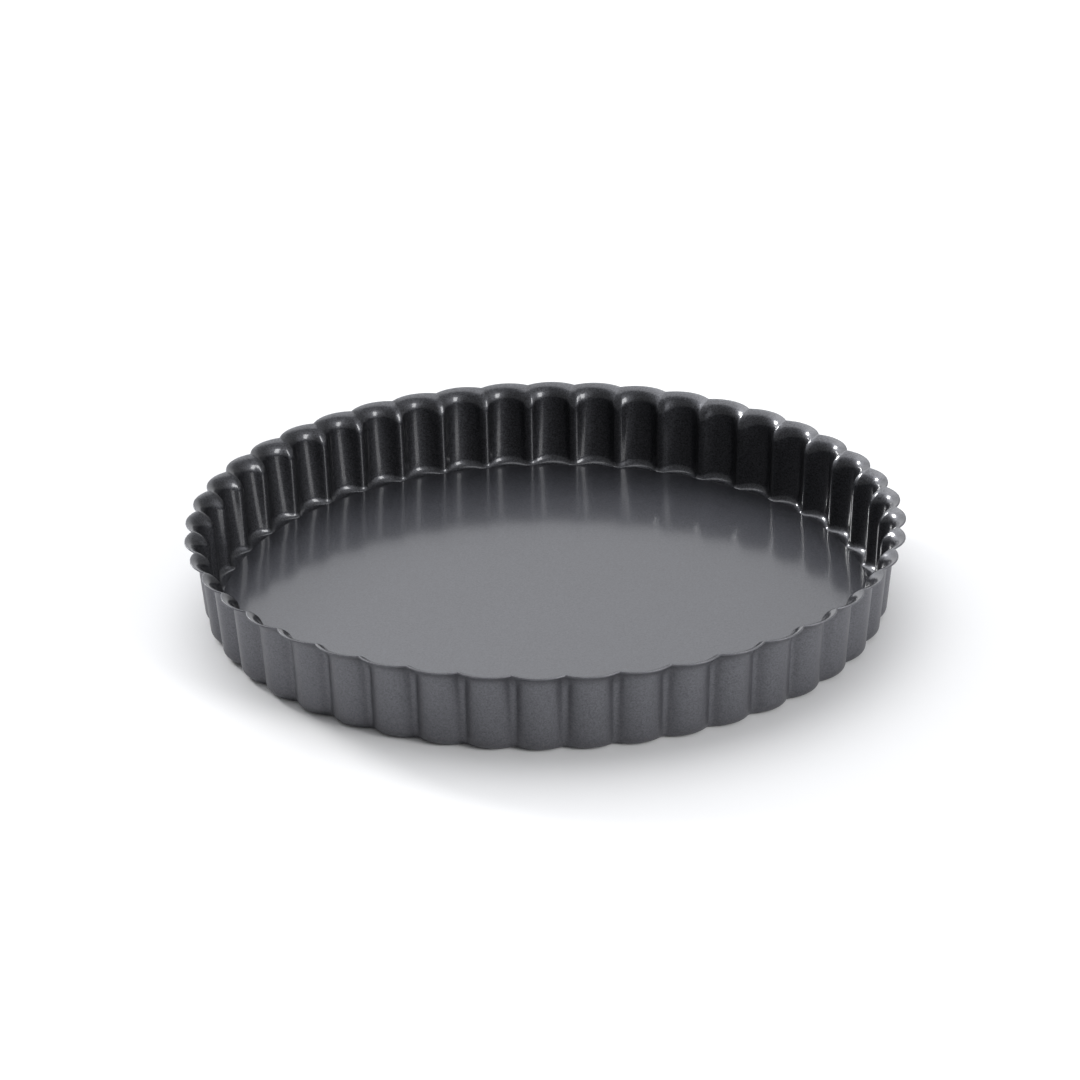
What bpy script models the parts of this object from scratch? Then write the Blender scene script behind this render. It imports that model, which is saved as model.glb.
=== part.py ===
"""Fluted tart pan with a loose base: a pressed sheet-steel ring, and the flat disc that lies in it.

Frame: metres, +Z up. The origin is on the pan's axis, in the plane that the pan stands on.
A flute is centred on +X, and the flutes follow each other anticlockwise.
"""

import math

import bmesh
import bpy
from mathutils import Vector

MM = 0.001

# Driving dimensions.
RIM_RADIUS = 140.0 * MM          # outermost point of the scalloped lip
PAN_HEIGHT = 33.8 * MM           # top of the lip above the table
FLUTE_COUNT = 44
FLUTE_DEPTH = 4.6 * MM           # from the crown of a flute in to the ridge beside it
SHEET = 0.6 * MM                 # coated sheet, both pieces
WALL_DRAFT = math.radians(5.5)   # the wall leans outwards by this much
RIDGE_ROUND = 1.1 * MM           # round of the narrow ridge, at the middle of the sheet
SHARP_RIDGE = 0.35 * MM          # what is left of that round at the edge of the lip
CROWN_FLARE = 5.0 * MM           # bell mouth between the wall and the lip, at a flute's crown
CROWN_TILT = math.radians(4.0)   # the lip ends this far above the horizontal there
RIDGE_FLARE = 15.6 * MM          # the same bell mouth at a ridge is slower and steeper
RIDGE_TILT = math.radians(33.0)
CROWN_FOOT = 4.2 * MM            # round between the wall and the ledge, at a flute's crown
RIDGE_FOOT = 1.5 * MM            # the same round at a ridge
BLEND = 3                        # how closely the ridges keep their own bell mouth and round
LEDGE_RADIUS = 120.0 * MM        # opening in the bottom of the ring
BASE_RADIUS = 126.9 * MM
BASE_GAP = 0.3 * MM              # space between the ledge and the base that lies on it
BASE_EDGE_ROUND = 0.12 * MM

# How finely the ring is divided.
LOBE_STEPS = 5                   # across the round of one flute
FOOT_STEPS = 2
FLARE_STEPS = 4
BASE_SIDES = 132

# Worked out from the driving dimensions.
HALF_PITCH = math.pi / FLUTE_COUNT
WALL_ANGLE = math.pi / 2 - WALL_DRAFT
LEDGE_MIDDLE = SHEET / 2
LIP_MIDDLE = PAN_HEIGHT - SHEET / 2
BASE_BOTTOM = SHEET + BASE_GAP
COLUMNS = LOBE_STEPS + 2
STATIONS = FOOT_STEPS + FLARE_STEPS + 2


def clear_scene():
    for old in list(bpy.data.objects):
        bpy.data.objects.remove(old, do_unlink=True)


def make_collection(name):
    collection = bpy.data.collections.new(name)
    bpy.context.scene.collection.children.link(collection)
    return collection


def make_coating(name, colour, roughness, metallic):
    material = bpy.data.materials.new(name)
    material.use_nodes = True
    shader = material.node_tree.nodes["Principled BSDF"]
    shader.inputs["Base Color"].default_value = (*colour, 1.0)
    shader.inputs["Roughness"].default_value = roughness
    shader.inputs["Metallic"].default_value = metallic
    return material


def flute_line(crown, ridge, ridge_round):
    """One flute seen from above, ridge to ridge: pairs of a point and the way inwards from it.

    The crown and the ridge are distances from the pan's axis. Between them the sheet follows an
    arc about a point on the flute's own axis. The ridges on its two sides are small arcs that
    touch it and curve the other way, each shared with the next flute.
    """
    ridge_centre = ridge + ridge_round
    reach = crown + ridge_round
    flute_centre = (reach ** 2 - ridge_centre ** 2) / 2
    flute_centre /= reach - ridge_centre * math.cos(HALF_PITCH)
    swing = math.atan2(
        ridge_centre * math.sin(HALF_PITCH),
        ridge_centre * math.cos(HALF_PITCH) - flute_centre,
    )
    line = []
    for step in range(LOBE_STEPS + 1):
        angle = swing * (2 * step / LOBE_STEPS - 1)
        outwards = Vector((math.cos(angle), math.sin(angle)))
        point = Vector((flute_centre, 0.0)) + (crown - flute_centre) * outwards
        line.append((point, -outwards))
    ends = []
    for side in (-1, 1):
        outwards = Vector((math.cos(side * HALF_PITCH), math.sin(side * HALF_PITCH)))
        ends.append((ridge * outwards, -outwards))
    return [ends[0], *line, ends[1]]


def flare_end(radius, tilt):
    """How far out and how far up one bell mouth carries the sheet."""
    width = radius * (math.sin(WALL_ANGLE) - math.sin(tilt))
    height = radius * (math.cos(tilt) - math.cos(WALL_ANGLE))
    return width, height


def wall_crown(height):
    """Distance from the axis to a flute's crown, on the leaning wall."""
    width, rise = flare_end(CROWN_FLARE, CROWN_TILT)
    return RIM_RADIUS - width - (LIP_MIDDLE - rise - height) * math.tan(WALL_DRAFT)


def wall_line(height):
    """The flute's line on the leaning wall, at one height."""
    crown = wall_crown(height)
    return flute_line(crown, crown - FLUTE_DEPTH, RIDGE_ROUND)


def across(column):
    """0 at the crown of the flute, 1 at the ridges."""
    point, _ = wall_line(PAN_HEIGHT / 2)[column]
    return abs(math.atan2(point.y, point.x)) / HALF_PITCH


def mix(crown_value, ridge_value, column):
    return crown_value + (ridge_value - crown_value) * across(column) ** BLEND


def foot_point(column, turn):
    """A point on the round between ledge and wall, where the sheet has turned up by an angle."""
    radius = mix(CROWN_FOOT, RIDGE_FOOT, column)
    top = LEDGE_MIDDLE + radius * (1 - math.cos(WALL_ANGLE))
    point, inwards = wall_line(top)[column]
    point = point + inwards * radius * (math.sin(WALL_ANGLE) - math.sin(turn))
    return Vector((*point, LEDGE_MIDDLE + radius * (1 - math.cos(turn))))


def ledge_point(column):
    """A point on the round opening of the ledge, straight inwards from the wall's foot."""
    outer = foot_point(column, 0.0)
    edge = Vector((outer.x, outer.y)).normalized() * LEDGE_RADIUS
    return Vector((*edge, LEDGE_MIDDLE))


def flare_place(radius, tilt, depth, share):
    """Distance from the axis and height, a share of the way from the wall to the lip."""
    _, rise = flare_end(radius, tilt)
    start = LIP_MIDDLE - rise
    width, lift = flare_end(radius, WALL_ANGLE + (tilt - WALL_ANGLE) * share)
    return wall_crown(start) - depth + width, start + lift


def flare_point(column, share):
    """A point on the bell mouth. It starts lower at the ridges, so a flute ends in an arch."""
    crown, crown_height = flare_place(CROWN_FLARE, CROWN_TILT, 0.0, share)
    ridge, ridge_height = flare_place(RIDGE_FLARE, RIDGE_TILT, FLUTE_DEPTH, share)
    ridge_round = RIDGE_ROUND + (SHARP_RIDGE - RIDGE_ROUND) * share
    point, _ = flute_line(crown, ridge, ridge_round)[column]
    return Vector((*point, mix(crown_height, ridge_height, column)))


def sheet_point(column, station):
    """Where a point of the flat blank ends up on the pressed sheet, from ledge to lip."""
    if station == 0:
        return ledge_point(column)
    if station <= FOOT_STEPS + 1:
        return foot_point(column, WALL_ANGLE * (station - 1) / FOOT_STEPS)
    return flare_point(column, (station - FOOT_STEPS - 2) / FLARE_STEPS)


def press_flute(mesh):
    """A flat grid, moved onto the surface of one flute. Its size only numbers its points."""
    grid = bmesh.ops.create_grid(mesh, x_segments=COLUMNS, y_segments=STATIONS, size=1.0)
    for vertex in grid["verts"]:
        column = round((vertex.co.x + 1) / 2 * COLUMNS)
        station = round((vertex.co.y + 1) / 2 * STATIONS)
        vertex.co = sheet_point(column, station)


def make_ring(collection, coating):
    """One flute, turned round the axis into a whole ring and given the sheet's thickness."""
    shape = bmesh.new()
    press_flute(shape)
    bmesh.ops.spin(
        shape,
        geom=shape.verts[:] + shape.edges[:] + shape.faces[:],
        cent=(0.0, 0.0, 0.0),
        axis=(0.0, 0.0, 1.0),
        angle=2 * HALF_PITCH * (FLUTE_COUNT - 1),
        steps=FLUTE_COUNT - 1,
        use_duplicate=True,
    )
    bmesh.ops.remove_doubles(shape, verts=shape.verts[:], dist=0.005 * MM)
    bmesh.ops.recalc_face_normals(shape, faces=shape.faces[:])
    mesh = bpy.data.meshes.new("fluted_ring")
    shape.to_mesh(mesh)
    shape.free()
    mesh.shade_smooth()
    mesh.materials.append(coating)
    ring = bpy.data.objects.new("fluted_ring", mesh)
    collection.objects.link(ring)
    wall = ring.modifiers.new("sheet", "SOLIDIFY")
    wall.thickness = SHEET
    wall.offset = 0.0
    wall.use_even_offset = True
    return ring


def make_base(collection, coating, lift_axis):
    """The loose base: a flat disc that lies on the ledge and lifts straight up."""
    bpy.ops.mesh.primitive_cylinder_add(
        vertices=BASE_SIDES,
        radius=BASE_RADIUS,
        depth=SHEET,
        location=(0.0, 0.0, BASE_BOTTOM + SHEET / 2),
    )
    base = bpy.context.object
    base.name = "base_disc"
    base.data.name = "base_disc"
    for owner in list(base.users_collection):
        owner.objects.unlink(base)
    collection.objects.link(base)
    base.data.materials.append(coating)
    base.data.shade_smooth()
    base.data.set_sharp_from_angle(angle=math.radians(30))
    edge = base.modifiers.new("cut_edge", "BEVEL")
    edge.width = BASE_EDGE_ROUND
    edge.segments = 1
    edge.limit_method = "ANGLE"
    base.parent = lift_axis
    return base


def main():
    clear_scene()
    collection = make_collection("tart_pan")
    lift_axis = bpy.data.objects.new("lift_axis", None)
    collection.objects.link(lift_axis)
    ring_coating = make_coating("ring_coating", (0.060, 0.061, 0.065), 0.36, 0.35)
    base_coating = make_coating("base_coating", (0.064, 0.065, 0.069), 0.34, 0.35)
    make_ring(collection, ring_coating)
    make_base(collection, base_coating, lift_axis)


main()
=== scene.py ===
# %% [markdown]
# # A fluted tart pan with a loose base
#
# The real pan is two pieces of thin steel sheet with a dark non-stick coating: a pressed ring
# with a fluted wall, a flared scalloped lip and a narrow ledge at the bottom, and a flat disc
# that lies on the ledge and is pushed out from below to free the tart.
#
# This lesson rebuilds both. The ring follows a rule, so Geometry Nodes make it: the profile of
# the bent sheet is worked out at the crown of a flute and at a ridge, one flute is drawn between
# the two, and the flute is repeated round the axis. The disc is a turned profile. The coating is
# a procedural material made of small shader groups that both pieces share.

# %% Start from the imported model
import math

import bmesh
import bpy
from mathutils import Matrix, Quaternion, Vector


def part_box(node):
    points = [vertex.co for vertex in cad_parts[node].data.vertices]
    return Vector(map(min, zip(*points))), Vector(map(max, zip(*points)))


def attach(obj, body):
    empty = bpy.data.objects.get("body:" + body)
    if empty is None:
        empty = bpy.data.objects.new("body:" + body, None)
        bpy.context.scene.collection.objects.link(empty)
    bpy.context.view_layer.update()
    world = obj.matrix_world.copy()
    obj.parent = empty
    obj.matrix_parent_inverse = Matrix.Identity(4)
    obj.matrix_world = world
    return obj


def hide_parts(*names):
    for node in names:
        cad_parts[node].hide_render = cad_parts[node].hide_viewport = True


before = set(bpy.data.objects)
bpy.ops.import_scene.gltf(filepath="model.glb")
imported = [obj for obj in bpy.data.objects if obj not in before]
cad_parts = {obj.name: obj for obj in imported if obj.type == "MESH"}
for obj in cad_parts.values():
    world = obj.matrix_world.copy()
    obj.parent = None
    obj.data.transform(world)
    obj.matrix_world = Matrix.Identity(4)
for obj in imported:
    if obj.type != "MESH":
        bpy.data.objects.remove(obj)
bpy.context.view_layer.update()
MM = 0.001

# %% [markdown]
# ## Where the sizes come from
#
# The frame says how big everything is. The pan's height is read from the ring's box, and the
# disc's place, radius and thickness from its own box. The rim's radius is named here, because the
# packed ring has flat facets, which fall a little short of it. What a box can't say, such as the
# number of flutes or the round of a bend, is a size of the pressing tool and is named too.

# %% Read the sizes
ring_low, ring_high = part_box("fluted_ring")
disc_low, disc_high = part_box("base_disc")

SHEET = 0.6 * MM
RIM_RADIUS = 140.0 * MM
PAN_HEIGHT = ring_high[2] - ring_low[2]
DISC_RADIUS = (disc_high[0] - disc_low[0]) / 2
DISC_BOTTOM = disc_low[2]
DISC_SHEET = disc_high[2] - disc_low[2]
FLUTE_COUNT = 44
print(f"height {PAN_HEIGHT / MM:.1f} mm, disc radius {DISC_RADIUS / MM:.1f} mm")

# %% [markdown]
# ## Arithmetic on wires
#
# A node tree does its sums with Math nodes, and a long formula needs many of them. A small class
# makes them readable: a `Wire` is a number that travels through the tree, and adding or
# multiplying two wires adds the Math node that does it. The tree that comes out is an ordinary
# one, and can be opened and followed in the editor.

# %% A wire that can be added and multiplied
class Wire:
    """A number in a node tree. Arithmetic on it adds Math nodes."""

    def __init__(self, tree, socket):
        self.tree = tree
        self.socket = socket

    def math(self, operation, *others):
        node = self.tree.nodes.new("ShaderNodeMath")
        node.operation = operation
        for entry, value in zip(node.inputs, (self, *others)):
            if isinstance(value, Wire):
                self.tree.links.new(value.socket, entry)
            else:
                entry.default_value = value
        return Wire(self.tree, node.outputs[0])

    def __add__(self, other):
        return self.math("ADD", other)

    def __sub__(self, other):
        return self.math("SUBTRACT", other)

    def __mul__(self, other):
        return self.math("MULTIPLY", other)

    def __truediv__(self, other):
        return self.math("DIVIDE", other)

    def sin(self):
        return self.math("SINE")

    def cos(self):
        return self.math("COSINE")

    def fixed(self, value):
        """A number that doesn't change, as a wire in the same tree."""
        return self * 0 + value

    def share(self, start, end):
        """How far this number has come from start to end, kept between 0 and 1."""
        node = self.tree.nodes.new("ShaderNodeMapRange")
        self.tree.links.new(self.socket, node.inputs["Value"])
        node.inputs["From Min"].default_value = start
        node.inputs["From Max"].default_value = end
        return Wire(self.tree, node.outputs["Result"])

    def ease(self, start, end):
        """The same share, with a soft start and a soft end."""
        eased = self.share(start, end)
        eased.socket.node.interpolation_type = "SMOOTHSTEP"
        return eased

    def towards(self, other, share):
        """This number where share is 0, the other where it is 1."""
        return self + (self * -1 + other) * share


def new_group(name, kind, inputs, outputs):
    """An empty node group with named sockets, and the wires that come out of its inputs."""
    tree = bpy.data.node_groups.new(name, kind)
    for title, socket, default in inputs:
        entry = tree.interface.new_socket(title, in_out="INPUT", socket_type=socket)
        if default is not None:
            entry.default_value = default
    for title, socket in outputs:
        tree.interface.new_socket(title, in_out="OUTPUT", socket_type=socket)
    start = tree.nodes.new("NodeGroupInput")
    end = tree.nodes.new("NodeGroupOutput")
    wires = {title: Wire(tree, start.outputs[title]) for title, _, _ in inputs}
    return tree, wires, end


def use_group(tree, group, **values):
    """A group node in a tree. Values go to its inputs by name, with _ for a space."""
    kind = "GeometryNodeGroup" if tree.bl_idname == "GeometryNodeTree" else "ShaderNodeGroup"
    node = tree.nodes.new(kind)
    node.node_tree = group
    for title, value in values.items():
        entry = node.inputs[title.replace("_", " ")]
        if isinstance(value, Wire):
            tree.links.new(value.socket, entry)
        else:
            entry.default_value = value
    return node


FLOAT = "NodeSocketFloat"
print("wires ready")

# %% [markdown]
# ## The bent sheet, seen from the side
#
# Cut the ring through its axis and the sheet is one bent strip: a flat ledge, a round at the
# foot, a straight wall that leans out a little, and a bell mouth that turns it out to the lip.
# Two such strips are needed, one through the crown of a flute and one through the ridge between
# two flutes. They are the same strip with other radii, so one group serves both.
#
# The strip is followed by a station number. Each stretch has its own run of stations, and a
# clamped share of each run tells how much of that stretch is behind us, so foot, wall and bell
# mouth are a plain sum of three moves with no switch between them. The ledge is added later.

# %% Stations along the sheet, from the ledge's opening to the lip
LEDGE_END = 3
FOOT_END = LEDGE_END + 8
WALL_END = FOOT_END + 7
STATIONS = WALL_END + 15
WALL_ANGLE = math.radians(90 - 5.5)  # the wall leans outwards by 5.5 degrees
LEDGE_RADIUS = 120.0 * MM


def make_strip_group():
    sizes = [
        ("Station", FLOAT, 0.0),
        ("Lip Radius", FLOAT, RIM_RADIUS),
        ("Foot Round", FLOAT, 4.2 * MM),
        ("Flare Round", FLOAT, 5.0 * MM),
        ("Lip Tilt", FLOAT, math.radians(4)),
    ]
    results = [("Radius", FLOAT), ("Height", FLOAT)]
    tree, wire, end = new_group("bent_strip", "GeometryNodeTree", sizes, results)
    station = wire["Station"]
    foot, flare = wire["Foot Round"], wire["Flare Round"]

    # Angles: the foot turns the sheet up to the wall, the bell mouth turns it back down.
    turned_up = station.share(LEDGE_END, FOOT_END) * WALL_ANGLE
    bell = station.share(WALL_END, STATIONS)
    bent_out = station.fixed(WALL_ANGLE).towards(wire["Lip Tilt"], bell)

    # The straight wall is as tall as the two bends leave it.
    flare_rise = flare * (wire["Lip Tilt"].cos() - math.cos(WALL_ANGLE))
    foot_rise = foot * (1 - math.cos(WALL_ANGLE))
    wall_rise = foot_rise * -1 + (PAN_HEIGHT - SHEET) - flare_rise
    wall_share = station.share(FOOT_END, WALL_END)

    height = foot * (turned_up.cos() * -1 + 1)
    height = height + wall_rise * wall_share
    height = height + flare * (bent_out.cos() - math.cos(WALL_ANGLE))

    # Distances are counted back from the lip, which is the size that is known best.
    lean = 1 / math.tan(WALL_ANGLE)
    still_to_go = flare * (bent_out.sin() - wire["Lip Tilt"].sin())
    still_to_go = still_to_go + wall_rise * lean * (wall_share * -1 + 1)
    still_to_go = still_to_go + foot * (turned_up.sin() * -1 + math.sin(WALL_ANGLE))
    tree.links.new((wire["Lip Radius"] - still_to_go).socket, end.inputs["Radius"])
    tree.links.new((height + SHEET / 2).socket, end.inputs["Height"])
    return tree


strip_group = make_strip_group()
print("strip group:", len(strip_group.nodes), "nodes")

# %% [markdown]
# ## One flute, seen from above
#
# From above, a flute is a round arc about a point on its own middle line, and the ridge beside it
# is a much smaller arc that touches it and curves the other way. Given how far out the crown and
# the ridge lie and how round the ridge is, the arc's centre follows from the triangle between the
# axis and the two centres. Half of the flute is worked out, and its other half is the mirror
# image, so the neighbours always meet on the line between them.

# %% The outline of one flute at one level
HALF_PITCH = math.pi / FLUTE_COUNT
ARC_SHARE = 0.78  # of the way from crown to ridge, in columns; the rest is the ridge's arc


def make_outline_group():
    sizes = [
        ("Across", FLOAT, 0.0),
        ("Crown", FLOAT, RIM_RADIUS),
        ("Ridge", FLOAT, RIM_RADIUS - 3 * MM),
        ("Ridge Round", FLOAT, 1.1 * MM),
    ]
    tree, wire, end = new_group(
        "flute_outline", "GeometryNodeTree", sizes, [("X", FLOAT), ("Y", FLOAT)]
    )
    across, crown, small = wire["Across"], wire["Crown"], wire["Ridge Round"]
    ridge_centre = wire["Ridge"] + small
    reach = crown + small
    centre = (reach * reach - ridge_centre * ridge_centre) * 0.5
    centre = centre / (reach - ridge_centre * math.cos(HALF_PITCH))
    side_x = ridge_centre * math.cos(HALF_PITCH) - centre
    side_y = ridge_centre * math.sin(HALF_PITCH)
    swing = side_y.math("ARCTAN2", side_x)

    away = across.math("ABSOLUTE")
    arc_angle = swing * away.share(0.0, ARC_SHARE)
    ridge_angle = swing.towards(swing.fixed(HALF_PITCH), away.share(ARC_SHARE, 1.0))
    big = crown - centre
    x = centre + big * arc_angle.cos() + small * (swing.cos() - ridge_angle.cos())
    y = big * arc_angle.sin() + small * (swing.sin() - ridge_angle.sin())
    tree.links.new(x.socket, end.inputs["X"])
    tree.links.new((y * across.math("SIGN")).socket, end.inputs["Y"])
    return tree


outline_group = make_outline_group()
print("outline group:", len(outline_group.nodes), "nodes")

# %% [markdown]
# ## The ring
#
# The tree starts from a flat grid, which is only a way of numbering points: its width counts
# across a flute and its height counts stations. Every point is then set on the sheet. The bell
# mouth starts lower at a ridge than at the crown, which makes the arch at the top of each
# flute. Towards the foot the ridges stand out less and are rounder, as a drawn sheet is where it
# was pulled over the die. The flute is repeated round the axis, the neighbours are merged, and a
# very small seeded wobble takes away the perfection that no pressed sheet has.

# %% The tree that makes the ring
COLUMNS = 18
RIDGE_BLEND = 3.0            # a higher power keeps the ridge's own heights closer to it
LIP_MARK_RUN = 2             # stations at the lip and at the opening that the paler edge can reach: scuffing and a painted highlight
OPENING_MARK_RUN = 1
JOIN_DISTANCE = 0.01 * MM
WOBBLE_SCALE = 45.0          # waves per metre, about one for each flute
EDGE_MARK = "cut_edge_share"
RING_INPUTS = {
    "Flutes": FLUTE_COUNT,
    "Lip Radius": RIM_RADIUS,
    "Lip Scallop": 2.9 * MM,
    "Crown Foot": 4.3 * MM,
    "Ridge Foot": 2.4 * MM,
    "Crown Flare": 5.9 * MM,
    "Ridge Flare": 10.5 * MM,
    "Crown Tilt": math.radians(12),
    "Ridge Tilt": math.radians(20),
    "Ridge Round": 2.2 * MM,
    "Foot Ridge Round": 3.0 * MM,
    "Foot Shallowing": 1.2 * MM,
    "Lip Sharpness": 0.35 * MM,
    "Wobble": 0.015 * MM,
    "Seed": 7,
}


def strip_wires(tree, group, **sizes):
    node = use_group(tree, group, **sizes)
    return Wire(tree, node.outputs["Radius"]), Wire(tree, node.outputs["Height"])


def make_ring_tree(coating):
    inputs = [
        (name, "NodeSocketInt" if isinstance(value, int) else FLOAT, value)
        for name, value in RING_INPUTS.items()
    ]
    tree, wire, end = new_group(
        "fluted_ring_maker", "GeometryNodeTree", inputs, [("Geometry", "NodeSocketGeometry")]
    )
    nodes, links = tree.nodes, tree.links

    # The numbering grid: x counts columns across a flute, y counts stations along the sheet.
    grid = nodes.new("GeometryNodeMeshGrid")
    grid.inputs["Vertices X"].default_value = COLUMNS + 1
    grid.inputs["Vertices Y"].default_value = STATIONS + 1
    place = nodes.new("GeometryNodeInputPosition")
    split = nodes.new("ShaderNodeSeparateXYZ")
    links.new(place.outputs[0], split.inputs[0])
    across = Wire(tree, split.outputs["X"]) * 2
    station = (Wire(tree, split.outputs["Y"]) + 0.5) * STATIONS

    crown, crown_height = strip_wires(
        tree, strip_group, Station=station, Lip_Radius=wire["Lip Radius"],
        Foot_Round=wire["Crown Foot"], Flare_Round=wire["Crown Flare"],
        Lip_Tilt=wire["Crown Tilt"],
    )
    ridge, ridge_height = strip_wires(
        tree, strip_group, Station=station, Lip_Radius=wire["Lip Radius"] - wire["Lip Scallop"],
        Foot_Round=wire["Ridge Foot"], Flare_Round=wire["Ridge Flare"],
        Lip_Tilt=wire["Ridge Tilt"],
    )
    ridge = ridge + wire["Foot Shallowing"] * station.share(WALL_END, FOOT_END)
    bell = station.share(WALL_END, STATIONS)
    foot = station.share(FOOT_END, LEDGE_END)
    ridge_round = wire["Ridge Round"].towards(wire["Lip Sharpness"], bell * bell)
    ridge_round = ridge_round.towards(wire["Foot Ridge Round"], foot)
    outline = use_group(
        tree, outline_group, Across=across, Crown=crown, Ridge=ridge, Ridge_Round=ridge_round
    )
    x, y = Wire(tree, outline.outputs["X"]), Wire(tree, outline.outputs["Y"])

    # Heights lean towards the ridge's own only close to it.
    turn = y.math("ARCTAN2", x)
    near_ridge = (turn.math("ABSOLUTE") / HALF_PITCH).math("POWER", RIDGE_BLEND)
    z = crown_height.towards(ridge_height, near_ridge)

    # The ledge runs in to a round opening.
    ledge = station.share(0, LEDGE_END)
    x = (turn.cos() * LEDGE_RADIUS).towards(x, ledge)
    y = (turn.sin() * LEDGE_RADIUS).towards(y, ledge)
    point = nodes.new("ShaderNodeCombineXYZ")
    for axis, value in zip("XYZ", (x, y, z)):
        links.new(value.socket, point.inputs[axis])
    press = nodes.new("GeometryNodeSetPosition")
    links.new(grid.outputs["Mesh"], press.inputs["Geometry"])
    links.new(point.outputs[0], press.inputs["Position"])

    # The two cut edges are marked, for the paler colour that the coatings put there: scuffing,
    # and a painted highlight of the light that the edges catch.
    at_lip = station.share(STATIONS - LIP_MARK_RUN, STATIONS)
    at_opening = station.share(OPENING_MARK_RUN, 0)
    edge_mark = nodes.new("GeometryNodeStoreNamedAttribute")
    edge_mark.data_type = "FLOAT"
    edge_mark.domain = "POINT"
    edge_mark.inputs["Name"].default_value = EDGE_MARK
    links.new(press.outputs["Geometry"], edge_mark.inputs["Geometry"])
    links.new(at_lip.math("MAXIMUM", at_opening).socket, edge_mark.inputs["Value"])

    # Repeat the flute round the axis.
    repeats = nodes.new("GeometryNodeMeshLine")
    repeats.inputs["Offset"].default_value = (0, 0, 0)
    links.new(wire["Flutes"].socket, repeats.inputs["Count"])
    index = Wire(tree, nodes.new("GeometryNodeInputIndex").outputs[0])
    rotation = nodes.new("ShaderNodeCombineXYZ")
    links.new((index * 2 * HALF_PITCH).socket, rotation.inputs["Z"])
    copies = nodes.new("GeometryNodeInstanceOnPoints")
    links.new(repeats.outputs["Mesh"], copies.inputs["Points"])
    links.new(edge_mark.outputs["Geometry"], copies.inputs["Instance"])
    links.new(rotation.outputs[0], copies.inputs["Rotation"])
    real = nodes.new("GeometryNodeRealizeInstances")
    links.new(copies.outputs["Instances"], real.inputs[0])
    join = nodes.new("GeometryNodeMergeByDistance")
    join.inputs["Distance"].default_value = JOIN_DISTANCE
    links.new(real.outputs[0], join.inputs["Geometry"])

    # A pressed sheet is never perfect: move every point by at most the wobble along each axis.
    noise = nodes.new("ShaderNodeTexNoise")
    noise.noise_dimensions = "4D"
    noise.inputs["Scale"].default_value = WOBBLE_SCALE
    noise.inputs["Detail"].default_value = 1.0
    links.new(wire["Seed"].socket, noise.inputs["W"])
    centred = nodes.new("ShaderNodeVectorMath")
    centred.operation = "SUBTRACT"
    links.new(noise.outputs["Color"], centred.inputs[0])
    centred.inputs[1].default_value = (0.5, 0.5, 0.5)
    scaled = nodes.new("ShaderNodeVectorMath")
    scaled.operation = "SCALE"
    links.new(centred.outputs[0], scaled.inputs[0])
    links.new((wire["Wobble"] * 2).socket, scaled.inputs["Scale"])
    wobble = nodes.new("GeometryNodeSetPosition")
    links.new(join.outputs["Geometry"], wobble.inputs["Geometry"])
    links.new(scaled.outputs[0], wobble.inputs["Offset"])

    # Smooth shading and the coating finish it.
    smooth = nodes.new("GeometryNodeSetShadeSmooth")
    links.new(wobble.outputs["Geometry"], smooth.inputs["Geometry"])
    paint = nodes.new("GeometryNodeSetMaterial")
    paint.inputs["Material"].default_value = coating
    links.new(smooth.outputs[0], paint.inputs["Geometry"])
    links.new(paint.outputs["Geometry"], end.inputs["Geometry"])
    return tree


def set_tree_inputs(modifier, values):
    """A modifier's inputs are set by the identifier of their socket."""
    for item in modifier.node_group.interface.items_tree:
        if item.in_out == "INPUT" and item.name in values:
            modifier[item.identifier] = values[item.name]


print("ring tree ready")

# %% [markdown]
# ## The coating
#
# The pan is coated on both sides with a dark grey non-stick finish. It isn't a plain black paint:
# fine metal flakes lie in it under a clear film. The film mirrors the room darkly, and the
# rougher flakes below it give a broad satin sheen and, up close, a fine sparkle. The outside has
# a thinner and rougher film than the inside and looks matt.
#
# Three groups carry this. `flake_grain` gives the sparkle and the slight orange peel of a sprayed
# film, `film_drift` its slow unevenness, and the third makes a ragged paler band along the cut
# edges: scuffing where the pan is held and stacked, and a painted highlight of the light that the
# edges catch.

# %% Groups for the coating
CELL_CONTRAST = 0.6          # of the flakes' own cells in the sparkle
CLOUD_CONTRAST = 1.2         # of the soft cloud between them
CLOUD_SCALE = 0.6            # both against the scale of the flakes
PEEL_SCALE = 0.35
FLAKE_HEIGHT = 0.25          # how much the flakes stand out of the film
# The next four shape the ragged paler band at the cut edges: scuffing, and a painted highlight of
# the light on the edges.
SCUFF_AND_HIGHLIGHT_SCALE = 160.0
SCUFF_AND_HIGHLIGHT_RAGGED = 0.9
SCUFF_AND_HIGHLIGHT_START = 0.62            # of the way to the cut edge
SCUFF_AND_HIGHLIGHT_FULL = 0.95


def texture_node(tree, kind, vector, **values):
    node = tree.nodes.new(kind)
    tree.links.new(vector, node.inputs["Vector"])
    for title, value in values.items():
        node.inputs[title].default_value = value
    return node


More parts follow.
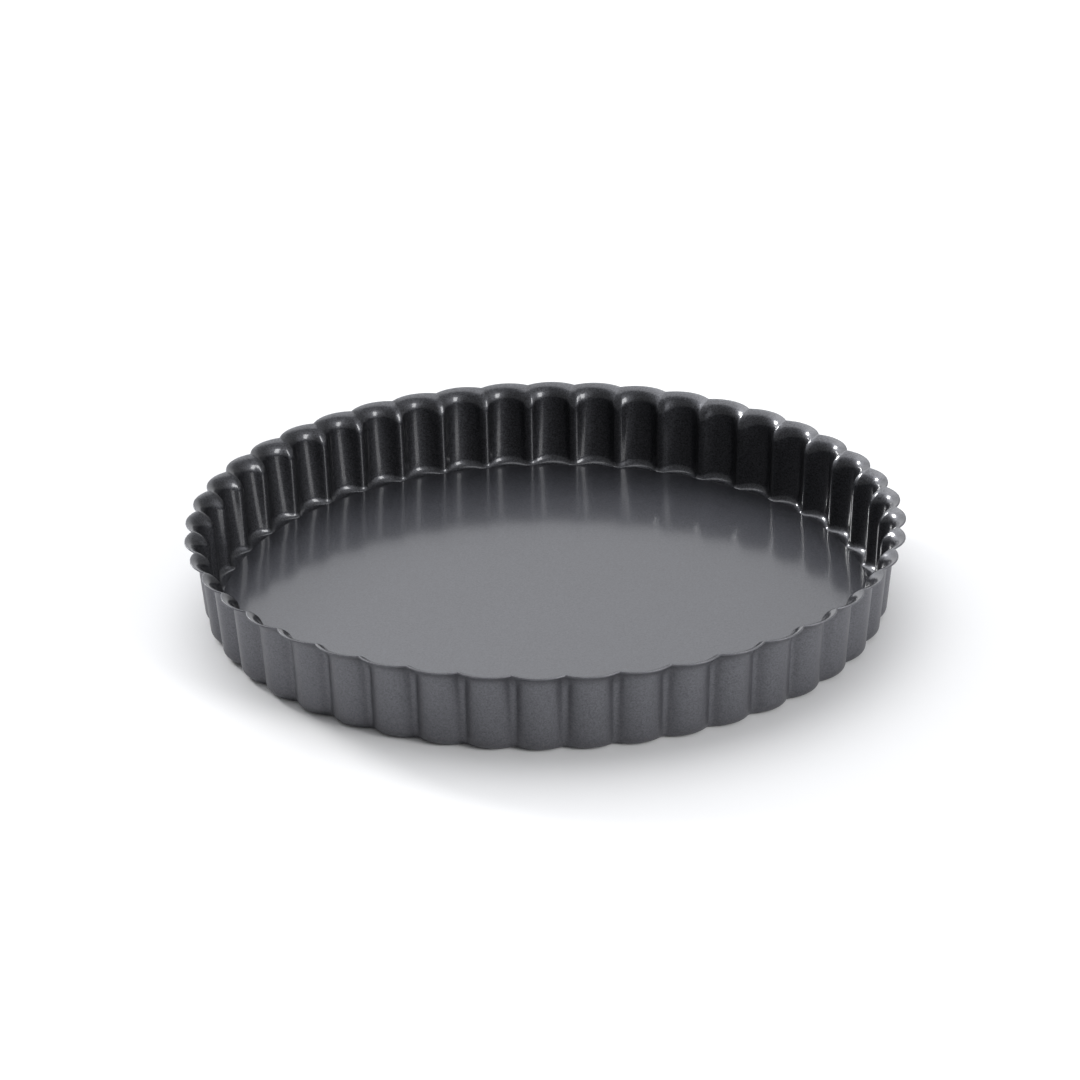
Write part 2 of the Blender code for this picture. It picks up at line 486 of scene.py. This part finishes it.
def make_flake_grain():
    inputs = [
        ("Vector", "NodeSocketVector", None),
        ("Flake Size", FLOAT, 0.35 * MM),
        ("Flake Amount", FLOAT, 0.5),
    ]
    outputs = [("Flakes", FLOAT), ("Peel", FLOAT)]
    tree, wire, end = new_group("flake_grain", "ShaderNodeTree", inputs, outputs)
    vector = wire["Vector"].socket
    scale = wire["Flake Size"].fixed(1) / wire["Flake Size"]

    cells = texture_node(tree, "ShaderNodeTexVoronoi", vector)
    tree.links.new(scale.socket, cells.inputs["Scale"])
    shade = tree.nodes.new("ShaderNodeSeparateColor")
    tree.links.new(cells.outputs["Color"], shade.inputs[0])
    flakes = Wire(tree, shade.outputs[0]) - 0.5
    fine = texture_node(tree, "ShaderNodeTexNoise", vector, Detail=2.0)
    tree.links.new((scale * CLOUD_SCALE).socket, fine.inputs["Scale"])
    cloud = Wire(tree, fine.outputs["Fac"]) - 0.5
    sparkle = flakes * CELL_CONTRAST + cloud * CLOUD_CONTRAST
    sparkle = sparkle * wire["Flake Amount"] + 0.5
    tree.links.new(sparkle.socket, end.inputs["Flakes"])

    peel = texture_node(tree, "ShaderNodeTexNoise", vector, Detail=1.0)
    tree.links.new((scale * PEEL_SCALE).socket, peel.inputs["Scale"])
    height = Wire(tree, peel.outputs["Fac"]) + flakes * FLAKE_HEIGHT
    tree.links.new(height.socket, end.inputs["Peel"])
    return tree


def make_film_drift():
    inputs = [("Vector", "NodeSocketVector", None), ("Patch Size", FLOAT, 40 * MM)]
    tree, wire, end = new_group(
        "film_drift", "ShaderNodeTree", inputs, [("Drift", FLOAT)]
    )
    scale = wire["Patch Size"].fixed(1) / wire["Patch Size"]
    slow = texture_node(tree, "ShaderNodeTexNoise", wire["Vector"].socket, Detail=3.0)
    tree.links.new(scale.socket, slow.inputs["Scale"])
    tree.links.new(slow.outputs["Fac"], end.inputs["Drift"])
    return tree


def make_scuff_and_highlight():
    inputs = [
        ("Vector", "NodeSocketVector", None),
        ("Edge", FLOAT, 0.0),
        ("Amount", FLOAT, 0.5),
    ]
    tree, wire, end = new_group("scuff_and_highlight", "ShaderNodeTree", inputs, [("Scuff And Highlight", FLOAT)])
    # The cut edges turn paler in a ragged band: scuffing, and a painted highlight of the light
    # that the edges catch.
    patches = texture_node(tree, "ShaderNodeTexNoise", wire["Vector"].socket, Detail=4.0)
    patches.inputs["Scale"].default_value = SCUFF_AND_HIGHLIGHT_SCALE
    ragged = wire["Edge"] + (Wire(tree, patches.outputs["Fac"]) - 0.5) * SCUFF_AND_HIGHLIGHT_RAGGED
    scuff_and_highlight_share = ragged.share(SCUFF_AND_HIGHLIGHT_START, SCUFF_AND_HIGHLIGHT_FULL) * wire["Amount"]
    tree.links.new(scuff_and_highlight_share.socket, end.inputs["Scuff And Highlight"])
    return tree


flake_grain = make_flake_grain()
film_drift = make_film_drift()
scuff_and_highlight = make_scuff_and_highlight()
print("coating groups:", flake_grain.name, film_drift.name, scuff_and_highlight.name)

# %% The coating, with its own values for each surface
FLAKE_METAL = 0.95
FLAKE_SIZE = 0.45 * MM
DRIFT_PATCH = 45 * MM
DRIFT_IN_COLOUR = 0.25
DRIFT_IN_ROUGHNESS = 0.05
FLAKES_IN_ROUGHNESS = 0.10
WEAR_IN_ROUGHNESS = 0.1
SCUFF_AND_HIGHLIGHT_TINT = 2.2              # scuffed metal and the painted highlight on the edges are this much paler than the coating


def scaled_tint(tint, factor):
    return (*[value * factor for value in tint], 1)


def make_coating(
    name, *, tint, flake_roughness, graze, film, film_roughness, grain_depth, peel, scuff_and_highlight_amount
):
    """Metal flakes under a clear film.

    Graze is how much the flakes brighten at a flat angle, grain depth how far they differ in
    brightness, peel the height of the film's orange peel, and the last how much paler the cut
    edges turn, both scuffed and with a painted highlight of the light on them.
    """
    material = bpy.data.materials.new(name)
    material.use_nodes = True
    tree = material.node_tree
    shader = tree.nodes["Principled BSDF"]
    shader.inputs["Metallic"].default_value = FLAKE_METAL
    shader.inputs["Coat Weight"].default_value = film
    shader.inputs["Coat Roughness"].default_value = film_roughness
    shader.inputs["Specular Tint"].default_value = (graze, graze, graze, 1)
    where = tree.nodes.new("ShaderNodeTexCoord").outputs["Object"]
    mark = tree.nodes.new("ShaderNodeAttribute")
    mark.attribute_name = EDGE_MARK

    grain = use_group(tree, flake_grain, Flake_Size=FLAKE_SIZE, Flake_Amount=1.0)
    drift = use_group(tree, film_drift, Patch_Size=DRIFT_PATCH)
    scuff_and_highlight_node = use_group(tree, scuff_and_highlight, Amount=scuff_and_highlight_amount, Edge=Wire(tree, mark.outputs["Fac"]))
    for node in (grain, drift, scuff_and_highlight_node):
        tree.links.new(where, node.inputs["Vector"])
    flakes = Wire(tree, grain.outputs["Flakes"])
    slow = Wire(tree, drift.outputs["Drift"])
    scuff_and_highlight_share = Wire(tree, scuff_and_highlight_node.outputs["Scuff And Highlight"])

    shade = tree.nodes.new("ShaderNodeMix")
    shade.data_type = "RGBA"
    shade.inputs["A"].default_value = scaled_tint(tint, 1 - grain_depth)
    shade.inputs["B"].default_value = scaled_tint(tint, 1 + grain_depth)
    speckle = flakes + (slow - 0.5) * DRIFT_IN_COLOUR
    tree.links.new(speckle.socket, shade.inputs["Factor"])
    # The cut edges turn paler: scuffed metal, and a painted highlight of the light that the edges
    # catch.
    scuff_and_highlight_colour = tree.nodes.new("ShaderNodeMix")
    scuff_and_highlight_colour.data_type = "RGBA"
    scuff_and_highlight_colour.inputs["B"].default_value = scaled_tint(tint, SCUFF_AND_HIGHLIGHT_TINT)
    tree.links.new(shade.outputs["Result"], scuff_and_highlight_colour.inputs["A"])
    tree.links.new(scuff_and_highlight_share.socket, scuff_and_highlight_colour.inputs["Factor"])
    tree.links.new(scuff_and_highlight_colour.outputs["Result"], shader.inputs["Base Color"])
    rough = (slow - 0.5) * DRIFT_IN_ROUGHNESS + (flakes - 0.5) * FLAKES_IN_ROUGHNESS
    rough = rough + flake_roughness + scuff_and_highlight_share * WEAR_IN_ROUGHNESS
    tree.links.new(rough.socket, shader.inputs["Roughness"])

    bump = tree.nodes.new("ShaderNodeBump")
    bump.inputs["Strength"].default_value = 1.0
    bump.inputs["Distance"].default_value = peel
    tree.links.new(grain.outputs["Peel"], bump.inputs["Height"])
    tree.links.new(bump.outputs["Normal"], shader.inputs["Normal"])
    return material


ring_coating = make_coating(
    "ring_coating",
    tint=(0.050, 0.051, 0.057),
    flake_roughness=0.44,
    graze=0.45,
    film=0.90,
    film_roughness=0.14,
    grain_depth=0.55,
    peel=0.012 * MM,
    scuff_and_highlight_amount=0.5,
)
ring_outside = make_coating(
    "ring_outside_coating",
    tint=(0.136, 0.137, 0.150),
    flake_roughness=0.56,
    graze=1.0,
    film=0.25,
    film_roughness=0.22,
    grain_depth=0.24,
    peel=0.012 * MM,
    scuff_and_highlight_amount=0.6,
)
base_coating = make_coating(
    "base_coating",
    tint=(0.0435, 0.0445, 0.0515),
    flake_roughness=0.57,
    graze=1.0,
    film=0.80,
    film_roughness=0.14,
    grain_depth=0.45,
    peel=0.007 * MM,
    scuff_and_highlight_amount=0.4,
)
print("coatings:", ring_coating.name, ring_outside.name, base_coating.name)

# %% [markdown]
# ## Make the ring
#
# The tree gives the middle surface of the sheet. A Solidify modifier gives it the sheet's
# thickness, half to each side, and a Bevel takes the sharpness off the two cut edges, at the lip
# and at the opening of the ledge. The middle surface faces inwards, so the side that Solidify
# adds is the outside, and its material offset gives that side the matt finish.

# %% Run the tree, give the sheet its thickness and round the cut edges
EDGE_ROUND = 0.14 * MM
CUT_EDGE_ANGLE = math.radians(60)


def plain_mesh(holder, name):
    """What the modifiers make of an object, as a mesh of its own in a new object."""
    ready = holder.evaluated_get(bpy.context.evaluated_depsgraph_get())
    mesh = bpy.data.meshes.new_from_object(ready)
    mesh.name = name
    piece = bpy.data.objects.new(name, mesh)
    bpy.context.scene.collection.objects.link(piece)
    bpy.data.objects.remove(holder, do_unlink=True)
    return piece


def make_ring():
    holder = bpy.data.objects.new("ring_maker", bpy.data.meshes.new("ring_maker"))
    bpy.context.scene.collection.objects.link(holder)
    maker = holder.modifiers.new("make", "NODES")
    maker.node_group = make_ring_tree(ring_coating)
    set_tree_inputs(maker, RING_INPUTS)
    ring = plain_mesh(holder, "fluted_ring_sheet")

    shape = bmesh.new()
    shape.from_mesh(ring.data)
    bmesh.ops.recalc_face_normals(shape, faces=shape.faces[:])
    # An open sheet has no outside of its own, so its faces are turned to look at the axis.
    if sum(face.normal.dot(face.calc_center_median()) for face in shape.faces) > 0:
        bmesh.ops.reverse_faces(shape, faces=shape.faces[:])
    shape.to_mesh(ring.data)
    shape.free()
    ring.data.materials.append(ring_outside)
    wall = ring.modifiers.new("sheet", "SOLIDIFY")
    wall.thickness = SHEET
    wall.offset = 0.0
    wall.use_even_offset = True
    wall.material_offset = 1
    wall.material_offset_rim = 1
    edge = ring.modifiers.new("cut_edge", "BEVEL")
    edge.width = EDGE_ROUND
    edge.segments = 2
    edge.limit_method = "ANGLE"
    edge.angle_limit = CUT_EDGE_ANGLE
    return ring


ring = make_ring()
print("ring:", len(ring.data.vertices), "points on the middle of the sheet")

# %% [markdown]
# ## Make the loose base
#
# The base is a disc stamped from the same sheet. A punched edge is never square: the upper side
# rolls over a little, and the lower corner is only broken. The profile of that edge is drawn once
# and turned round the axis. The flat is divided into rings as well, so that the upper face can
# have the slight dish of a real thin disc, a tenth of a millimetre that keeps reflections alive.

# %% Turn the disc
DISC_SIDES = 264
FLAT_RINGS = 14
DISH = 0.10 * MM
EDGE_ROLL = 0.22 * MM
ROLL_STEPS = 4
BROKEN_CORNER = 0.06 * MM
RIM_SCUFF_AND_HIGHLIGHT_REACH = 0.5 * MM
SHARP_FROM = math.radians(35)


def dish_height(radius):
    """How much lower the upper face lies here than at its edge. It is lowest in the middle."""
    share = radius / DISC_RADIUS
    return -DISH * (1 - share * share)


def disc_profile():
    """Half of the disc's cross-section, from the middle of the top to the middle underneath."""
    top, bottom, edge = DISC_BOTTOM + DISC_SHEET, DISC_BOTTOM, DISC_RADIUS
    rings = [edge * step / FLAT_RINGS for step in range(1, FLAT_RINGS)]
    points = [(radius, top + dish_height(radius)) for radius in rings]
    for step in range(ROLL_STEPS + 1):
        angle = math.pi / 2 * step / ROLL_STEPS
        outwards = edge - EDGE_ROLL + EDGE_ROLL * math.sin(angle)
        points.append((outwards, top - EDGE_ROLL + EDGE_ROLL * math.cos(angle)))
    points.append((edge, bottom + BROKEN_CORNER))
    points.append((edge - BROKEN_CORNER, bottom))
    points += [(radius, bottom) for radius in reversed(rings)]
    return points


def turn_profile(name, points, sides):
    """Turns a profile round the axis and closes both poles with a fan."""
    shape = bmesh.new()
    rows = []
    for radius, height in points:
        row = []
        for side in range(sides):
            angle = 2 * math.pi * side / sides
            place = (radius * math.cos(angle), radius * math.sin(angle), height)
            row.append(shape.verts.new(place))
        rows.append(row)
    top = shape.verts.new((0, 0, points[0][1]))
    bottom = shape.verts.new((0, 0, points[-1][1]))
    for side in range(sides):
        after = (side + 1) % sides
        shape.faces.new((top, rows[0][side], rows[0][after]))
        shape.faces.new((bottom, rows[-1][after], rows[-1][side]))
        for upper, lower in zip(rows, rows[1:]):
            shape.faces.new((upper[side], lower[side], lower[after], upper[after]))
    bmesh.ops.recalc_face_normals(shape, faces=shape.faces[:])
    mesh = bpy.data.meshes.new(name)
    shape.to_mesh(mesh)
    shape.free()
    mesh.shade_smooth()
    piece = bpy.data.objects.new(name, mesh)
    bpy.context.scene.collection.objects.link(piece)
    return piece


disc = turn_profile("base_disc_sheet", disc_profile(), DISC_SIDES)
disc.data.materials.append(base_coating)
# The disc's rim is marked too, so that its coating turns paler there: scuffing, and a painted
# highlight of the light on the rolled edge.
rim_mark = disc.data.attributes.new(EDGE_MARK, "FLOAT", "POINT")
for point, mark in zip(disc.data.vertices, rim_mark.data):
    from_edge = DISC_RADIUS - math.hypot(point.co.x, point.co.y)
    mark.value = max(0.0, 1.0 - from_edge / RIM_SCUFF_AND_HIGHLIGHT_REACH)
disc.data.set_sharp_from_angle(angle=SHARP_FROM)
print("disc:", len(disc.data.polygons), "faces")

# %% [markdown]
# ## Fit the pieces to the frame
#
# Each piece rides on the body that carries the CAD node it stands for, and hides the plainer
# node.

# %% Ride and replace
for piece, node, body, slot in (
    (ring, "fluted_ring", "ring", "ring_coating"),
    (disc, "base_disc", "base", "base_coating"),
):
    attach(piece, body)
    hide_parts(node)
    print(piece.name, "rides on", body)

# %% [markdown]
# ## Floor and light
#
# The pan stands on a plain white table that runs out of the picture. Most of the light comes from
# the room itself, which is painted on the world: a large soft box overhead and a little behind, a
# pale backdrop below it, a paler wall at the front right and not much else in front, which is why
# the inside of the far wall looks nearly black.
#
# Two lamps are added. A small strong one at the back left draws the shadow to the front and puts
# a bright dot on the bell mouth of each flute at the right. A tall strip at the front right draws
# the bright upright lines in the flutes of the far wall.

# %% The table
TABLE_REACH = 6.0
TABLE_GREY = 0.78
TABLE_DROP = 0.03 * MM       # clears the ring's wobble, so that no facet pokes through the table


def make_floor():
    shape = bmesh.new()
    bmesh.ops.create_grid(shape, x_segments=8, y_segments=8, size=TABLE_REACH)
    mesh = bpy.data.meshes.new("table")
    shape.to_mesh(mesh)
    shape.free()
    table = bpy.data.objects.new("table", mesh)
    bpy.context.scene.collection.objects.link(table)
    table.location.z = -TABLE_DROP
    material = bpy.data.materials.new("white_table")
    material.use_nodes = True
    shader = material.node_tree.nodes["Principled BSDF"]
    shader.inputs["Base Color"].default_value = (TABLE_GREY, TABLE_GREY, TABLE_GREY, 1)
    shader.inputs["Roughness"].default_value = 0.9
    shader.inputs["Specular IOR Level"].default_value = 0.1
    mesh.materials.append(material)


make_floor()
print("table ready")

# %% Lights
def from_angles(azimuth, elevation, distance):
    """A place round the pan. Azimuth 0 is the camera's side and 90 is the right."""
    turn, rise = math.radians(azimuth), math.radians(elevation)
    flat = distance * math.cos(rise)
    return Vector((flat * math.sin(turn), -flat * math.cos(turn), distance * math.sin(rise)))


def soft_light(name, azimuth, elevation, distance, width, height, power):
    lamp = bpy.data.lights.new(name, "AREA")
    lamp.shape = "RECTANGLE"
    lamp.size = width
    lamp.size_y = height
    lamp.energy = power
    holder = bpy.data.objects.new(name, lamp)
    bpy.context.scene.collection.objects.link(holder)
    holder.location = from_angles(azimuth, elevation, distance)
    holder.rotation_euler = (-holder.location).to_track_quat("-Z", "Y").to_euler()


soft_light(
    "key_back_left",
    azimuth=227, elevation=25, distance=2.4, width=0.42, height=0.42, power=34,
)
soft_light(
    "strip_front_right",
    azimuth=55, elevation=27, distance=2.2, width=0.68, height=1.15, power=25,
)

# %% The room
SOFT_BOX = 3.1               # brightness of each part, on top of the grey of the whole room
SOFT_BOX_GLOW = 0.22
BACKDROP = 1.5
SIDE_WALL = 0.6
ROOM_GREY = 0.44
DAYLIGHT = (0.985, 0.995, 1.02)
ROOM_STRENGTH = 0.64


def nearness(tree, azimuth, elevation):
    """The cosine between the way a ray looks and a way named by two angles."""
    node = tree.nodes.new("ShaderNodeVectorMath")
    node.operation = "DOT_PRODUCT"
    where = tree.nodes.new("ShaderNodeTexCoord").outputs["Generated"]
    tree.links.new(where, node.inputs[0])
    node.inputs[1].default_value = from_angles(azimuth, elevation, 1.0)
    return Wire(tree, node.outputs["Value"])


def make_room():
    world = bpy.data.worlds.new("studio")
    bpy.context.scene.world = world
    world.use_nodes = True
    tree = world.node_tree
    overhead = nearness(tree, azimuth=200, elevation=63)
    backdrop = nearness(tree, azimuth=197, elevation=20)
    side_wall = nearness(tree, azimuth=60, elevation=25)

    # Each light fades in from the first cosine, at its edge, to the second, where it is full.
    bright = overhead.ease(0.77, 0.90) * SOFT_BOX + overhead.share(0.45, 0.80) * SOFT_BOX_GLOW
    bright = bright + backdrop.ease(0.72, 0.93) * BACKDROP
    bright = bright + side_wall.ease(0.55, 0.97) * SIDE_WALL + ROOM_GREY
    sky = tree.nodes["Background"]
    daylight = tree.nodes.new("ShaderNodeVectorMath")
    daylight.operation = "SCALE"
    daylight.inputs[0].default_value = DAYLIGHT
    tree.links.new(bright.socket, daylight.inputs["Scale"])
    tree.links.new(daylight.outputs["Vector"], sky.inputs["Color"])
    sky.inputs["Strength"].default_value = ROOM_STRENGTH


make_room()
print("room:", bpy.context.scene.world.name)

# %% [markdown]
# ## Camera
#
# A long lens, about 1.6 metres from the pan, looks down on it by a good 24 degrees. The camera's
# place, the way its back points and a small roll set the pan in the frame.

# %% Camera
CAMERA_PLACE = Vector((0.036458, -1.477929, 0.699204))
CAMERA_BACK = Vector((0.023757, -0.909478, 0.415073))
CAMERA_ROLL = math.radians(-0.948)
FOCAL_LENGTH = 139.08        # in millimetres, like the sensor's width
SENSOR_WIDTH = 36.0


def make_camera():
    lens = bpy.data.cameras.new("studio_camera")
    lens.lens = FOCAL_LENGTH
    lens.sensor_width = SENSOR_WIDTH
    lens.clip_end = 20.0
    camera = bpy.data.objects.new("studio_camera", lens)
    bpy.context.scene.collection.objects.link(camera)
    camera.location = CAMERA_PLACE
    aim = (-CAMERA_BACK).to_track_quat("-Z", "Y")
    camera.rotation_euler = (aim @ Quaternion((0, 0, 1), CAMERA_ROLL)).to_euler()
    bpy.context.scene.camera = camera
    return camera


camera = make_camera()
bpy.context.scene.view_settings.view_transform = "Standard"
bpy.context.view_layer.update()
print("camera right:", [round(v, 5) for v in camera.matrix_world.col[0][:3]])
